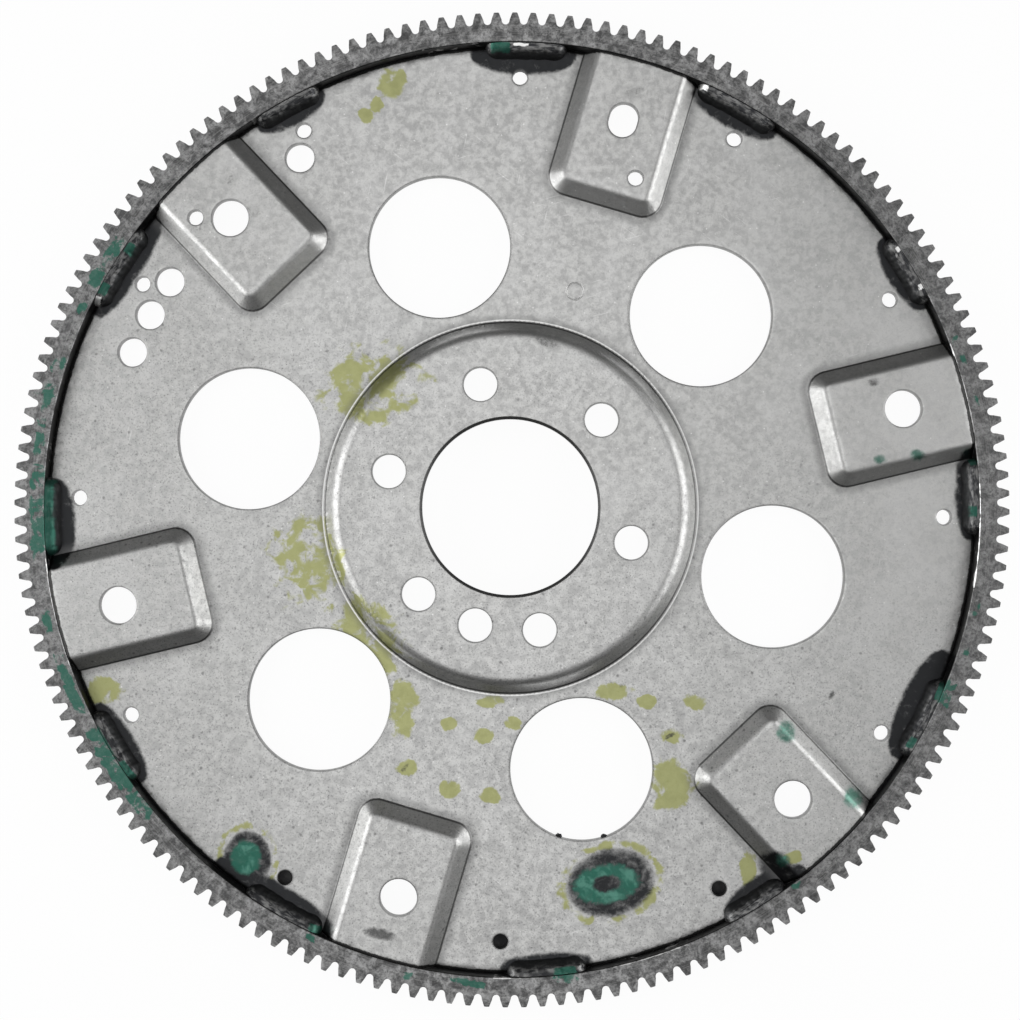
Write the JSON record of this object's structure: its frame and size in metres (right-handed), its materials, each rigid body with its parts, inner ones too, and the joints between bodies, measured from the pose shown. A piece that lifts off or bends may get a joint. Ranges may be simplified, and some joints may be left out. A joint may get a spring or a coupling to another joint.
{
  "type": "flexplate",
  "caption": "Stamped steel flexplate with a raised hub, converter pads and lightening holes, welded inside a toothed starter ring, with a balance weight behind.",
  "frame": {"origin": "on the axis, in the lower face of the ring gear (engine side), on which the part lies", "axes": "+Z along the axis towards the torque converter, +X through the first ring weld, 14.05 degrees before the middle of the first pad"},
  "size_m": [0.3592, 0.3592, 0.0134],
  "materials": {
    "sheet_steel": "mottled pickled sheet steel, lightly oiled",
    "ring_steel": "dark turned and hobbed steel",
    "weld_bead": "rippled weld metal with heat tint"
  },
  "bodies": {
    "root": {"flexplate_disc": "sheet_steel", "starter_ring_gear": "ring_steel", "balance_weight": "sheet_steel", "ring_weld_01": "weld_bead", "ring_weld_02": "weld_bead", "ring_weld_03": "weld_bead", "ring_weld_04": "weld_bead", "ring_weld_05": "weld_bead", "ring_weld_06": "weld_bead", "ring_weld_07": "weld_bead", "ring_weld_08": "weld_bead", "ring_weld_09": "weld_bead", "ring_weld_10": "weld_bead", "ring_weld_11": "weld_bead", "ring_weld_12": "weld_bead", "weight_weld_left": "weld_bead", "weight_weld_inner": "weld_bead", "weight_weld_right": "weld_bead"}
  },
  "joints": []
}
